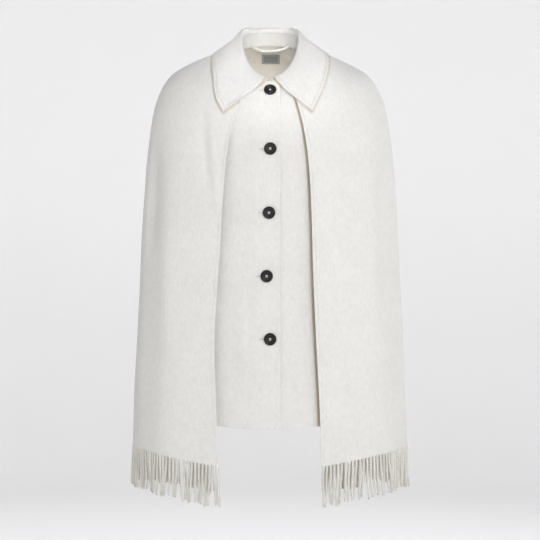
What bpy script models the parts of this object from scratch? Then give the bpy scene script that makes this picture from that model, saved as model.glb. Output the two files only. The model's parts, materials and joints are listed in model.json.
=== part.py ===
"""Fringed cape jacket: a wool jacket with a collar on a stand, and a fringed cape sewn into its neck seam.

Metres, +Z up. The front faces -Y, and +X is the right-hand side as seen from the front.
The origin is in the middle of the base of the neck, where the wearer's shoulders hold the garment.
"Right" and "left" in the names of pieces are the wearer's, so the right front is at -X.
"""
import bisect
import math
import random
from collections import namedtuple

import bmesh
import bpy
from mathutils import Vector

# Cloth and seams
WALL = 0.0025
COLLAR_WALL = 0.0030
LABEL_WALL = 0.0010
SEAM_GAP = 0.0003
LAYER_GAP = 0.0009
UP = Vector((0.0, 0.0, 1.0))

# A ring runs once round the garment. Square above 2 flattens its front, back and sides, and
# ridge says how its height turns from the side to the front and back: 2 is round, 1 is a tilted plane.
Ring = namedtuple("Ring", "front_z front_depth side_z half_width back_z back_depth square ridge")

# The inner face of the jacket's cloth, from the neck seam down to the hem
JACKET_ROWS = [
    Ring(-0.0605, 0.0840, 0.0100, 0.0600, 0.0265, 0.0600, 2.25, 1.20),
    Ring(-0.0710, 0.0940, 0.0010, 0.0920, 0.0070, 0.0830, 2.25, 1.60),
    Ring(-0.0860, 0.1040, -0.0125, 0.1270, -0.0180, 0.1010, 2.25, 1.80),
    Ring(-0.1080, 0.1135, -0.0290, 0.1570, -0.0480, 0.1115, 2.30, 1.90),
    Ring(-0.1500, 0.1220, -0.0860, 0.1680, -0.0980, 0.1180, 2.35, 2.00),
    Ring(-0.2000, 0.1270, -0.1500, 0.1630, -0.1520, 0.1230, 2.40, 2.00),
    Ring(-0.2520, 0.1290, -0.2260, 0.1660, -0.2260, 0.1230, 2.40, 2.00),
    Ring(-0.3300, 0.1300, -0.3180, 0.1780, -0.3200, 0.1230, 2.40, 2.00),
    Ring(-0.4300, 0.1310, -0.4200, 0.1860, -0.4260, 0.1250, 2.40, 2.00),
    Ring(-0.5600, 0.1340, -0.5440, 0.1910, -0.5550, 0.1310, 2.40, 2.00),
    Ring(-0.6970, 0.1380, -0.6720, 0.1960, -0.6900, 0.1370, 2.40, 2.00),
]
SHOULDER_TIP_ROW = 3
UNDERARM_ROW = 6
ARMHOLE_FRONT = 27.0
ARMHOLE_BACK = 20.0

# The lapped front: edges of the two fronts, and where the upper one is lifted over the lower one
LAP_EDGE_X = 0.0195
UNDERLAP_EDGE_X = -0.0200
LAP_LIFT_FROM_X = -0.0405
LAP_LIFT_TO_X = -0.0255
LAP_COLUMN_SHARE = 4 / 12

# The inner face of the cape's cloth, below its first rows, which lie on the jacket's shoulders
CAPE_LOW_ROWS = [
    Ring(-0.1000, 0.1165, -0.0245, 0.1630, -0.0450, 0.1180, 2.30, 1.90),
    Ring(-0.1220, 0.1240, -0.0400, 0.1880, -0.0750, 0.1270, 2.30, 1.90),
    Ring(-0.1500, 0.1300, -0.0700, 0.2060, -0.1050, 0.1340, 2.30, 2.00),
    Ring(-0.1800, 0.1350, -0.1000, 0.2170, -0.1350, 0.1385, 2.30, 2.00),
    Ring(-0.2150, 0.1385, -0.1350, 0.2235, -0.1700, 0.1410, 2.30, 2.00),
    Ring(-0.2550, 0.1410, -0.1800, 0.2295, -0.2130, 0.1420, 2.30, 2.00),
    Ring(-0.3050, 0.1430, -0.2400, 0.2345, -0.2680, 0.1425, 2.35, 2.00),
    Ring(-0.3550, 0.1445, -0.3000, 0.2385, -0.3250, 0.1430, 2.35, 2.00),
    Ring(-0.4150, 0.1460, -0.3650, 0.2415, -0.3880, 0.1440, 2.40, 2.00),
    Ring(-0.5000, 0.1480, -0.4650, 0.2460, -0.4820, 0.1460, 2.40, 2.00),
    Ring(-0.5800, 0.1500, -0.5550, 0.2510, -0.5700, 0.1490, 2.40, 2.00),
    Ring(-0.6650, 0.1520, -0.6440, 0.2545, -0.6680, 0.1520, 2.40, 2.60),
    Ring(-0.7690, 0.1550, -0.7380, 0.2585, -0.7850, 0.1560, 2.40, 3.40),
]
CAPE_LIFTS = (0.0036, 0.0040, 0.0046)

# The inner edges of the cape's panels as seen from the front, and of those behind
EdgeRow = namedtuple("EdgeRow", "z right_x left_x")
CAPE_FRONT_EDGES = [
    EdgeRow(-0.060, -0.0450, 0.0400),
    EdgeRow(-0.097, -0.0555, 0.0490),
    EdgeRow(-0.145, -0.0700, 0.0610),
    EdgeRow(-0.187, -0.0780, 0.0680),
    EdgeRow(-0.235, -0.0830, 0.0725),
    EdgeRow(-0.287, -0.0870, 0.0750),
    EdgeRow(-0.390, -0.0925, 0.0780),
    EdgeRow(-0.470, -0.0995, 0.0805),
    EdgeRow(-0.548, -0.1030, 0.0842),
    EdgeRow(-0.625, -0.1010, 0.0890),
    EdgeRow(-0.692, -0.0945, 0.0930),
    EdgeRow(-0.770, -0.0915, 0.0930),
]
CAPE_BACK_EDGES = [
    EdgeRow(0.030, -0.0420, 0.0420),
    EdgeRow(-0.050, -0.0600, 0.0590),
    EdgeRow(-0.150, -0.0780, 0.0770),
    EdgeRow(-0.300, -0.0900, 0.0880),
    EdgeRow(-0.450, -0.0960, 0.0950),
    EdgeRow(-0.600, -0.1010, 0.1020),
    EdgeRow(-0.700, -0.1060, 0.1070),
    EdgeRow(-0.790, -0.1080, 0.1080),
]

# Each cape panel's name, its side and whether it hangs behind
CAPE_PANELS = (
    ("front_right", -1, False),
    ("front_left", 1, False),
    ("back_right", -1, True),
    ("back_left", 1, True),
)

# Soft folds of the cape: a ridge where the rise is above nothing, a trough where it is below
Fold = namedtuple("Fold", "top_angle hem_angle width rise start")
CAPE_FOLDS = [
    Fold(-34, -30, 9, -0.0030, 2),
    Fold(-46, -44, 8, 0.0030, 5),
    Fold(-62, -60, 9, -0.0035, 4),
    Fold(36, 33, 9, -0.0025, 6),
    Fold(50, 50, 9, 0.0025, 4),
    Fold(68, 66, 9, -0.0030, 6),
    Fold(108, 106, 8, -0.0035, 5),
    Fold(122, 122, 8, 0.0040, 4),
    Fold(140, 138, 8, -0.0045, 6),
    Fold(-106, -104, 8, 0.0030, 6),
    Fold(-120, -119, 8, -0.0040, 4),
    Fold(-137, -136, 8, 0.0040, 5),
    Fold(-152, -150, 7, -0.0035, 6),
]

# The collar: its stand leans in to the roll, and its leaf falls from there on to the cape
STAND_TOP = Ring(-0.0510, 0.0775, 0.0290, 0.0545, 0.0520, 0.0570, 2.30, 1.10)
STAND_FOOT_DROP = 0.0010
COLLAR_END_ANGLE = 5.5
COLLAR_COLUMNS = 36
CollarStation = namedtuple("CollarStation", "edge_angle edge_row rise out bulge clear sag")
LEAF_ROWS = 10
ROLL_ROWS = 3
ROLL_SHARE = ROLL_ROWS / LEAF_ROWS
ROLL_EASE = 1.4
STRAIGHT_SHARE = 0.4

# Seen from the front, the collar's two points and the edge beside them. The collar sits a little askew.
Corner = namedtuple("Corner", "reach z shift")
COLLAR_POINT = Corner(0.0805, -0.1170, -0.0045)
COLLAR_EDGE_LOW = Corner(0.0905, -0.0980, -0.0055)
COLLAR_EDGE_HIGH = Corner(0.1030, -0.0560, -0.0005)
COLLAR_LOWEST_ROW = 8

# The rest of the collar's stations, from the side of the neck to the middle of the back. Edge angle and
# row say where the leaf ends on the cape. Rise and out shape its roll, bulge lifts its fall, clear is how
# far its edge lies off the cape, and sag bows the fall towards the hem.
POINT_STATION = CollarStation(0.0, 0.0, 0.0030, 0.0040, 0.0022, 0.0012, 0.24)
EDGE_LOW_STATION = CollarStation(0.0, 0.0, 0.0045, 0.0055, 0.0026, 0.0016, 0.14)
EDGE_HIGH_STATION = CollarStation(0.0, 0.0, 0.0062, 0.0068, 0.0018, 0.0028, 0.05)
COLLAR_REST = [
    CollarStation(94.0, 1.25, 0.0075, 0.0075, 0.0002, 0.0034, 0.00),
    CollarStation(123.0, 1.40, 0.0085, 0.0080, 0.0004, 0.0022, 0.00),
    CollarStation(152.0, 1.60, 0.0085, 0.0080, 0.0012, 0.0016, 0.00),
]
COLLAR_MIDDLE = CollarStation(180.0, 1.62, 0.0085, 0.0080, 0.0015, 0.0014, 0.00)
COLLAR_ASKEW_ROWS = 0.03

# Buttons. The profile runs from the hollowed top over the rim to the flat back, in shares of the radius and
# heights.
BUTTON_RADIUS = 0.0115
BUTTON_STEPS = 16
BUTTON_PROFILE = (
    (0.0, 0.0030),
    (0.62, 0.0030),
    (0.74, 0.0042),
    (0.88, 0.0044),
    (1.0, 0.0032),
    (1.0, 0.0014),
    (0.84, 0.0),
    (0.0, 0.0),
)
BUTTON_PLACES = (
    (0.0000, -0.0770),
    (0.0005, -0.1850),
    (-0.0018, -0.3020),
    (-0.0060, -0.4180),
    (0.0002, -0.5330),
)

# Trim of the back neck
LOOP_RADIUS = 0.0018
LOOP_HALF_SPAN = 0.0365
LOOP_TOP_Z = 0.0240
LOOP_LOW_Z = 0.0140
LOOP_SAG_POWER = 2.6
LOOP_SLANT = 1.45
LOOP_STEPS = 10
LABEL_WIDTH = 0.0350
LABEL_HEIGHT = 0.0165
LABEL_CENTRE = (0.0015, 0.0040)

# Fringe
FRINGE_GAP = 0.0006
STRIP_HEIGHT = 0.0030
STRAND_WIDTH = 0.0042
STRAND_PITCH = 0.0071
STRAND_SWAY = 0.0045
STRAND_WANDER = 0.0006
STRAND_UNEVEN = 0.0060
STRAND_TAPER = 0.85
FRINGE_LENGTH = 0.0780


def smooth(low, high, value):
    """Go from 0 at low to 1 at high, with soft ends."""
    part = min(max((value - low) / (high - low), 0.0), 1.0)
    return part * part * (3.0 - 2.0 * part)


def mix(start, end, part):
    return start + (end - start) * part


def even_slope(step_in, step_out):
    """The slope between two steps of a curve that never runs past its own rows."""
    if step_in * step_out <= 0.0:
        return 0.0
    return 2.0 * step_in * step_out / (step_in + step_out)


def curve_value(before, start, end, after, part):
    """One step of a smooth curve through four values, from start at 0 to end at 1."""
    slope_in = even_slope(start - before, end - start) if before != start else end - start
    slope_out = even_slope(end - start, after - end) if after != end else end - start
    square = part * part
    cube = square * part
    return (
        (2 * cube - 3 * square + 1) * start
        + (cube - 2 * square + part) * slope_in
        + (3 * square - 2 * cube) * end
        + (cube - square) * slope_out
    )


def between_rows(rows, place):
    """The row at a place in a table, read from a smooth curve through its rows."""
    index = min(max(int(place), 0), len(rows) - 2)
    before = rows[max(index - 1, 0)]
    after = rows[min(index + 2, len(rows) - 1)]
    columns = zip(before, rows[index], rows[index + 1], after)
    return type(rows[0])(*(curve_value(*column, place - index) for column in columns))


def ring_point(ring, angle):
    """A point of a ring. Angle 0 is the front, 90 is the side at +X and 180 is the back."""
    across = math.sin(math.radians(angle))
    along = math.cos(math.radians(angle))
    bend = 2.0 / ring.square
    depth, end_z = (ring.front_depth, ring.front_z) if along > 0 else (ring.back_depth, ring.back_z)
    x = math.copysign(ring.half_width * abs(across) ** bend, across)
    y = -math.copysign(depth * abs(along) ** bend, along)
    z = mix(ring.side_z, end_z, abs(along) ** ring.ridge)
    return Vector((x, y, z))


def angle_at_x(ring, x):
    """The angle at which the front half of a ring passes x."""
    share = min(abs(x) / ring.half_width, 1.0)
    return math.copysign(math.degrees(math.asin(share ** (ring.square / 2.0))), x)


def surface_normal(surface, angle, place):
    """The outward direction of a surface, from points a short way to each side."""
    turn = 1.0
    step = 0.04
    along = surface(angle + turn, place) - surface(angle - turn, place)
    down = surface(angle, place + step) - surface(angle, place - step)
    return down.cross(along).normalized()


def jacket_surface(angle, place):
    return ring_point(between_rows(JACKET_ROWS, place), angle)


def lapped_surface(angle, place):
    """The right front, lifted over the left one where the two lap."""
    point = jacket_surface(angle, place)
    lift = (WALL + SEAM_GAP * 2) * smooth(LAP_LIFT_FROM_X, LAP_LIFT_TO_X, point.x)
    return point + surface_normal(jacket_surface, angle, place) * lift


def lifted_ring(ring, lift):
    """A shoulder ring moved out by lift: up at the shoulder, forwards in front, backwards behind."""
    return ring._replace(
        front_z=ring.front_z + lift * 0.45,
        front_depth=ring.front_depth + lift * 0.85,
        side_z=ring.side_z + lift,
        half_width=ring.half_width + lift * 0.3,
        back_z=ring.back_z + lift * 0.7,
        back_depth=ring.back_depth + lift * 0.7,
    )


CAPE_ROWS = [lifted_ring(ring, lift) for ring, lift in zip(JACKET_ROWS, CAPE_LIFTS)] + CAPE_LOW_ROWS
CAPE_HEM_ROW = len(CAPE_ROWS) - 1
JACKET_HEM_ROW = len(JACKET_ROWS) - 1


def cape_surface(angle, place):
    """The cape with its soft folds, which grow towards the hem."""
    point = ring_point(between_rows(CAPE_ROWS, place), angle)
    outward = Vector((point.x, point.y, 0.0)).normalized()
    rise = 0.0
    for fold in CAPE_FOLDS:
        middle = mix(fold.top_angle, fold.hem_angle, place / CAPE_HEM_ROW)
        away = (angle - middle + 180.0) % 360.0 - 180.0
        growth = smooth(fold.start, CAPE_HEM_ROW, place)
        rise += fold.rise * growth * math.exp(-(away / fold.width) ** 2)
    return point + outward * rise


def seen_at(surface, x, z, last_row):
    """The angle and row at which the front of a surface is seen at x and z from the front."""
    high = 0.0
    low = float(last_row)
    for _ in range(30):
        place = (high + low) / 2.0
        angle_in = 0.0
        angle_out = math.copysign(88.0, x)
        for _ in range(30):
            angle = (angle_in + angle_out) / 2.0
            if abs(surface(angle, place).x) < abs(x):
                angle_in = angle
            else:
                angle_out = angle
        if surface(angle, place).z > z:
            high = place
        else:
            low = place
    return angle, place


def cape_edge_angle(place, side, behind):
    """The angle of a cape panel's inner edge on a row. Side is -1 for the right and 1 for the left."""
    ring = between_rows(CAPE_ROWS, place)
    rows = CAPE_BACK_EDGES if behind else CAPE_FRONT_EDGES
    angle = side * (160.0 if behind else 20.0)
    for _ in range(12):
        z = ring_point(ring, angle).z
        index = 0
        while index < len(rows) - 2 and z < rows[index + 1].z:
            index += 1
        part = (z - rows[index].z) / (rows[index + 1].z - rows[index].z)
        row = between_rows(rows, index + min(max(part, 0.0), 1.0))
        angle = angle_at_x(ring, row.left_x if side > 0 else row.right_x)
        if behind:
            angle = side * 180.0 - angle
    return angle


def cloth_material(name, color, roughness):
    material = bpy.data.materials.new(name)
    material.use_nodes = True
    shader = material.node_tree.nodes["Principled BSDF"]
    shader.inputs["Base Color"].default_value = (*color, 1.0)
    shader.inputs["Roughness"].default_value = roughness
    shader.inputs["Metallic"].default_value = 0.0
    return material


def add_object(name, mesh_bm, material, collection):
    mesh = bpy.data.meshes.new(name)
    mesh_bm.to_mesh(mesh)
    mesh_bm.free()
    mesh.materials.append(material)
    mesh.shade_smooth()
    piece = bpy.data.objects.new(name, mesh)
    collection.objects.link(piece)
    return piece


def add_wall(piece, thickness, offset):
    """Give an open surface its thickness. Offset 1 puts it outside, 0 on both sides, -1 inside."""
    wall = piece.modifiers.new("wall", "SOLIDIFY")
    wall.thickness = thickness
    wall.offset = offset
    wall.use_even_offset = True


def cloth_panel(name, point_at, columns, rows, thickness, offset, material, collection):
    """A panel of cloth: a grid that follows point_at(across, down), each from 0 to 1, made a wall."""
    panel = bmesh.new()
    bmesh.ops.create_grid(panel, x_segments=columns, y_segments=rows, size=0.5)
    for vert in panel.verts:
        vert.co = point_at(vert.co.x + 0.5, 0.5 - vert.co.y)
    piece = add_object(name, panel, material, collection)
    add_wall(piece, thickness, offset)
    return piece


def armhole_cut(place):
    """How far the armhole is cut in on a row, from 0 at the shoulder tip and the underarm to 1."""
    part = (place - SHOULDER_TIP_ROW) / (UNDERARM_ROW - SHOULDER_TIP_ROW)
    if part <= 0.0 or part >= 1.0:
        return 0.0
    return math.sqrt(math.sin(math.pi * part))


def jacket_front_right(material, collection):
    def point_at(across, down):
        place = down * JACKET_HEM_ROW
        ring = between_rows(JACKET_ROWS, place)
        side_angle = -90.0 + ARMHOLE_FRONT * armhole_cut(place)
        if across > 1.0 - LAP_COLUMN_SHARE:
            lap_part = (across - 1.0 + LAP_COLUMN_SHARE) / LAP_COLUMN_SHARE
            angle = angle_at_x(ring, mix(LAP_LIFT_FROM_X, LAP_EDGE_X, lap_part))
        else:
            lap_angle = angle_at_x(ring, LAP_LIFT_FROM_X)
            angle = mix(side_angle, lap_angle, across / (1.0 - LAP_COLUMN_SHARE))
        point = lapped_surface(angle, place)
        if across < 1e-4:
            point.y -= SEAM_GAP / 2
        return point

    return cloth_panel("jacket_front_right", point_at, 12, 18, WALL, 1.0, material, collection)


def jacket_front_left(material, collection):
    def point_at(across, down):
        place = down * JACKET_HEM_ROW
        edge_angle = angle_at_x(between_rows(JACKET_ROWS, place), UNDERLAP_EDGE_X)
        side_angle = 90.0 - ARMHOLE_FRONT * armhole_cut(place)
        point = jacket_surface(mix(edge_angle, side_angle, across), place)
        if across > 1.0 - 1e-4:
            point.y -= SEAM_GAP / 2
        return point

    return cloth_panel("jacket_front_left", point_at, 12, 18, WALL, 1.0, material, collection)


def jacket_back(material, collection):
    def point_at(across, down):
        place = down * JACKET_HEM_ROW
        cut = ARMHOLE_BACK * armhole_cut(place)
        point = jacket_surface(mix(90.0 + cut, 270.0 - cut, across), place)
        if across < 1e-4 or across > 1.0 - 1e-4:
            point.y += SEAM_GAP / 2
        return point

    return cloth_panel("jacket_back", point_at, 18, 18, WALL, 1.0, material, collection)


def cape_place(down):
    """The row of the cape at a share of the grid: the shoulders get more of the grid than the hem."""
    return CAPE_HEM_ROW * mix(down * down, down, 0.55)


def cape_panel(name, side, behind, material, collection):
    """A cape panel, from its inner edge to the seam over the shoulder and down the arm."""
    seam_angle = 90.0 * side

    def point_at(across, down):
        place = cape_place(down)
        start, end = sorted((seam_angle, cape_edge_angle(place, side, behind)))
        angle = mix(start, end, across)
        point = cape_surface(angle, place)
        if abs(angle - seam_angle) < 1e-3:
            point.y += SEAM_GAP / 2 if behind else -SEAM_GAP / 2
        return point

    return cloth_panel(name, point_at, 12, 20, WALL, 1.0, material, collection)


def stand_foot_ring():
    """The neck seam's ring, moved in by half the stand's wall and a seam gap."""
    inset = WALL / 2 + SEAM_GAP
    neck = JACKET_ROWS[0]
    return neck._replace(
        front_z=neck.front_z - STAND_FOOT_DROP,
        side_z=neck.side_z - STAND_FOOT_DROP,
        back_z=neck.back_z - STAND_FOOT_DROP,
        front_depth=neck.front_depth - inset,
        half_width=neck.half_width - inset,
        back_depth=neck.back_depth - inset,
    )


def collar_stand(material, collection):
    foot = stand_foot_ring()

    def point_at(across, down):
        angle = mix(COLLAR_END_ANGLE, 360.0 - COLLAR_END_ANGLE, across)
        return ring_point(STAND_TOP, angle).lerp(ring_point(foot, angle), down)

    return cloth_panel("collar_stand", point_at, COLLAR_COLUMNS, 2, WALL, 0.0, material, collection)


def collar_stations():
    """The collar's stations, evenly spaced round the neck from the left point by the back to the right."""
    corners = (
        (COLLAR_POINT, POINT_STATION),
        (COLLAR_EDGE_LOW, EDGE_LOW_STATION),
        (COLLAR_EDGE_HIGH, EDGE_HIGH_STATION),
    )
    halves = []
    for side in (1, -1):
        half = []
        for corner, station in corners:
            across = corner.reach * side + corner.shift
            angle, row = seen_at(cape_surface, across, corner.z, COLLAR_LOWEST_ROW)
            half.append(station._replace(edge_angle=abs(angle), edge_row=row))
        shoulder = COLLAR_REST[0]
        half.append(shoulder._replace(edge_row=shoulder.edge_row + side * COLLAR_ASKEW_ROWS))
        halves.append(half + COLLAR_REST[1:])
    left, right = halves
    turned = [station._replace(edge_angle=360.0 - station.edge_angle) for station in right]
    return left + [COLLAR_MIDDLE] + turned[::-1]


def collar_leaf(material, collection):
    """The leaf: it carries on from the stand, turns over at the roll and falls on to the cape."""
    stations = collar_stations()
    foot = stand_foot_ring()

    def point_at(across, down):
        station = between_rows(stations, across * (len(stations) - 1))
        neck_angle = mix(COLLAR_END_ANGLE, 360.0 - COLLAR_END_ANGLE, across)
        top = ring_point(STAND_TOP, neck_angle)
        lean = (top - ring_point(foot, neck_angle)).normalized()
        outward = Vector((top.x, top.y, 0.0)).normalized()
        seam = top + lean * SEAM_GAP * 1.5
        if down < ROLL_SHARE:
            row = down * LEAF_ROWS
            turn = max(row - 1.0, 0.0) / (ROLL_ROWS - 1.0) * math.pi / 2
            rise = STRAIGHT_SHARE * min(row, 1.0) + (1.0 - STRAIGHT_SHARE) * math.sin(turn)
            return seam + lean * station.rise * rise + outward * station.out * (1.0 - math.cos(turn))
        fall = (down - ROLL_SHARE) / (1.0 - ROLL_SHARE)
        start = seam + lean * station.rise + outward * station.out
        neck_point = cape_surface(neck_angle, 0.0)
        angle = mix(neck_angle, station.edge_angle, fall ** (1.0 + station.sag))
        row = station.edge_row * fall ** (1.0 - station.sag)
        normal = surface_normal(cape_surface, angle, row)
        lie = WALL + COLLAR_WALL / 2 + station.clear
        clear = lie * (1.0 - (1.0 - fall) ** 2) + station.bulge * math.sin(math.pi * fall)
        held = (start - neck_point) * (1.0 - fall) ** ROLL_EASE
        return cape_surface(angle, row) + held + normal * clear

    return cloth_panel(
        "collar_leaf", point_at, COLLAR_COLUMNS, LEAF_ROWS, COLLAR_WALL, 0.0, material, collection
    )


def button(name, x, z, material, collection):
    """A turned button, its flat back 0.3 mm off the front's cloth."""
    angle, place = seen_at(lapped_surface, x if abs(x) > 1e-4 else 1e-4, z, JACKET_HEM_ROW)
    normal = surface_normal(lapped_surface, angle, place)
    seat = lapped_surface(angle, place) + normal * (WALL + SEAM_GAP)
    outline = bmesh.new()
    verts = [outline.verts.new((share * BUTTON_RADIUS, 0.0, height)) for share, height in BUTTON_PROFILE]
    for start, end in zip(verts, verts[1:]):
        outline.edges.new((start, end))
    piece = add_object(name, outline, material, collection)
    turn = piece.modifiers.new("turned", "SCREW")
    turn.steps = BUTTON_STEPS
    turn.render_steps = BUTTON_STEPS
    turn.use_merge_vertices = True
    turn.merge_threshold = 0.00001
    piece.location = seat
    piece.rotation_euler = normal.to_track_quat("Z", "Y").to_euler()
    return piece


def hanger_loop(material, collection):
    """A narrow tube of cloth sewn in at the back neck seam, which sags between its ends."""
    foot = stand_foot_ring()
    curve = bpy.data.curves.new("hanger_loop", "CURVE")
    curve.dimensions = "3D"
    curve.bevel_depth = LOOP_RADIUS
    curve.bevel_resolution = 1
    curve.use_fill_caps = True
    spline = curve.splines.new("POLY")
    spline.points.add(LOOP_STEPS)
    for index in range(LOOP_STEPS + 1):
        share = 2.0 * index / LOOP_STEPS - 1.0
        x = LOOP_HALF_SPAN * share
        angle = 180.0 - angle_at_x(foot, x)
        low = ring_point(foot, angle)
        high = ring_point(STAND_TOP, angle)
        z = mix(LOOP_LOW_Z, LOOP_TOP_Z, abs(share) ** LOOP_SAG_POWER)
        part = max((z + LOOP_RADIUS - low.z) / (high.z - low.z), 0.0)
        y = mix(low.y, high.y, part) - (WALL / 2 + LOOP_RADIUS) * LOOP_SLANT - SEAM_GAP
        spline.points[index].co = (x, y, z, 1.0)
    curve.materials.append(material)
    piece = bpy.data.objects.new("hanger_loop", curve)
    collection.objects.link(piece)
    return piece


def neck_label(material, collection):
    """A plain woven label on the inside of the back, below the neck seam."""
    centre_x, centre_z = LABEL_CENTRE

    def point_at(across, down):
        z = centre_z + LABEL_HEIGHT * (0.5 - down)
        x = centre_x + LABEL_WIDTH * (across - 0.5)
        high = 0.0
        low = 2.0
        for _ in range(24):
            place = (high + low) / 2.0
            angle = 180.0 - angle_at_x(between_rows(JACKET_ROWS, place), x)
            if jacket_surface(angle, place).z > z:
                high = place
            else:
                low = place
        normal = surface_normal(jacket_surface, angle, place)
        return jacket_surface(angle, place) - normal * LAYER_GAP

    return cloth_panel("neck_label", point_at, 4, 2, LABEL_WALL, 1.0, material, collection)


class HemStretch:
    """A stretch of the cape's hem, read by length from its start at 0 to its end at 1."""

    def __init__(self, start, end):
        steps = 240
        self.angles = [mix(start, end, index / steps) for index in range(steps + 1)]
        points = [cape_surface(angle, CAPE_HEM_ROW) for angle in self.angles]
        self.lengths = [0.0]
        for last, point in zip(points, points[1:]):
            self.lengths.append(self.lengths[-1] + (point - last).length)
        self.length = self.lengths[-1]

    def frame(self, share):
        """The hem's point at a share of its length, the way along it and the way out."""
        wanted = self.length * share
        spot = bisect.bisect_left(self.lengths, wanted, 1, len(self.lengths) - 1)
        part = (wanted - self.lengths[spot - 1]) / (self.lengths[spot] - self.lengths[spot - 1])
        angle = mix(self.angles[spot - 1], self.angles[spot], part)
        normal = surface_normal(cape_surface, angle, CAPE_HEM_ROW)
        outward = Vector((normal.x, normal.y, 0.0)).normalized()
        return cape_surface(angle, CAPE_HEM_ROW), UP.cross(outward), outward


def fringe(name, start, end, seed, material, collection):
    """A fringe: a narrow strip under the hem, from whose lower side four-sided strands are drawn."""
    rng = random.Random(seed)
    hem = HemStretch(start, end)
    strands = round(hem.length / STRAND_PITCH)
    half = 0.5 * STRAND_WIDTH / STRAND_PITCH
    edges = [index + 0.5 + side * half for index in range(strands) for side in (-1, 1)]
    frames = [hem.frame(edge / strands) for edge in edges]

    strip = bmesh.new()
    bmesh.ops.create_grid(strip, x_segments=len(frames) - 1, y_segments=1, size=0.5)
    for face in strip.faces:
        column = round((face.calc_center_median().x + 0.5) * (len(frames) - 1) - 0.5)
        face.material_index = column % 2
    for vert in strip.verts:
        point, _, outward = frames[round((vert.co.x + 0.5) * (len(frames) - 1))]
        depth = WALL if vert.co.y > 0 else 0.0
        vert.co = point + outward * depth - UP * (FRINGE_GAP + STRIP_HEIGHT)
    root_faces = [face for face in strip.faces if face.material_index == 0]
    root_faces.sort(key=lambda face: face.index)
    top = bmesh.ops.extrude_face_region(strip, geom=strip.faces[:], use_keep_orig=True)
    lifted = [item for item in top["geom"] if isinstance(item, bmesh.types.BMVert)]
    bmesh.ops.translate(strip, verts=lifted, vec=UP * STRIP_HEIGHT)

    plans = []
    for index in range(strands):
        calm = math.sin(math.pi * (index + 0.5) / strands) ** 0.5
        wander = rng.uniform(-STRAND_WANDER, STRAND_WANDER)
        sway = calm * (STRAND_SWAY * math.sin(index * 0.5 + seed) + wander)
        plans.append((hem.frame((index + 0.5) / strands), sway, rng.uniform(0.0, STRAND_UNEVEN)))
    growing = root_faces
    for share in (0.5, 0.5):
        grown = bmesh.ops.extrude_discrete_faces(strip, faces=growing)["faces"]
        for face, ((_, along, outward), sway, shorter) in zip(grown, plans):
            centre = face.calc_center_median()
            drop = (FRINGE_LENGTH - STRIP_HEIGHT - shorter) * share
            shift = along * sway + outward * sway * 0.5 - UP * drop
            for vert in face.verts:
                vert.co = centre + (vert.co - centre) * STRAND_TAPER + shift
        growing = grown
    for face in strip.faces:
        face.material_index = 0
    bmesh.ops.recalc_face_normals(strip, faces=strip.faces[:])
    return add_object(name, strip, material, collection)


def clear_scene():
    for item in list(bpy.data.objects):
        bpy.data.objects.remove(item, do_unlink=True)


def build():
    clear_scene()
    garment = bpy.data.collections.new("fringed_cape_jacket")
    bpy.context.scene.collection.children.link(garment)

    wool = cloth_material("cream_wool", (0.80, 0.78, 0.72), 0.95)
    yarn = cloth_material("fringe_yarn", (0.78, 0.76, 0.70), 0.95)
    horn = cloth_material("dark_horn", (0.035, 0.028, 0.025), 0.35)
    tape = cloth_material("label_tape", (0.30, 0.29, 0.27), 0.80)

    jacket_front_right(wool, garment)
    jacket_front_left(wool, garment)
    jacket_back(wool, garment)
    for name, side, behind in CAPE_PANELS:
        cape_panel(f"cape_{name}", side, behind, wool, garment)
    collar_stand(wool, garment)
    collar_leaf(wool, garment)
    for number, (x, z) in enumerate(BUTTON_PLACES, start=1):
        button(f"button_{number}", x, z, horn, garment)
    hanger_loop(wool, garment)
    neck_label(tape, garment)
    for seed, (name, side, behind) in enumerate(CAPE_PANELS, start=3):
        start, end = sorted((90.0 * side, cape_edge_angle(CAPE_HEM_ROW, side, behind)))
        fringe(f"fringe_{name}", start, end, seed, yarn, garment)


build()
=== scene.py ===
# %% [markdown]
# # A fringed cape jacket in cream wool
# The garment is a wool jacket with a pointed collar, worn by nobody. A cape hangs over its shoulders
# like a wide scarf on each side and ends in a fringe. Every cell below makes one part of it, or one
# finish, round a fixed model that already has every piece at its real size. Sizes are in metres, +Z is up
# and the front faces -Y. "Right" and "left" are the wearer's.

# %% The fixed model
import json
import math
import random
from collections import namedtuple

import bmesh
import bpy
from mathutils import Matrix, Vector, noise
from mathutils.bvhtree import BVHTree
from mathutils.kdtree import KDTree

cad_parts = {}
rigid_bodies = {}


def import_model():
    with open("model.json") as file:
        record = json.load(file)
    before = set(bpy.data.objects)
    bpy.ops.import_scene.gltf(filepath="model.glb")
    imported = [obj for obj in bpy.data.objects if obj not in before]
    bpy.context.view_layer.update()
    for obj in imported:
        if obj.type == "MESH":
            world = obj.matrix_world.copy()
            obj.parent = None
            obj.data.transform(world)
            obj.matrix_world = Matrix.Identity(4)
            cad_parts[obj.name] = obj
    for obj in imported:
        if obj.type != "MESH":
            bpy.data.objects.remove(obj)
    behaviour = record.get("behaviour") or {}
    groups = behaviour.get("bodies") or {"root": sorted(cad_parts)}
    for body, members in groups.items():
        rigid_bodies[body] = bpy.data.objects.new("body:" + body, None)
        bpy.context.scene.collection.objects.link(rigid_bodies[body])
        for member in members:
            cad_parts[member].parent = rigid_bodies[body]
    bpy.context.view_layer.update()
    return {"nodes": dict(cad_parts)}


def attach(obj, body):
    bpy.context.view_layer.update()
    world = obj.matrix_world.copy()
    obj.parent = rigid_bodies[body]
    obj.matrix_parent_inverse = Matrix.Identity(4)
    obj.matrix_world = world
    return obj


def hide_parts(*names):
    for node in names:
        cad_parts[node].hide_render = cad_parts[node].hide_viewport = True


for item in list(bpy.data.objects):
    bpy.data.objects.remove(item, do_unlink=True)
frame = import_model()

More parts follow.
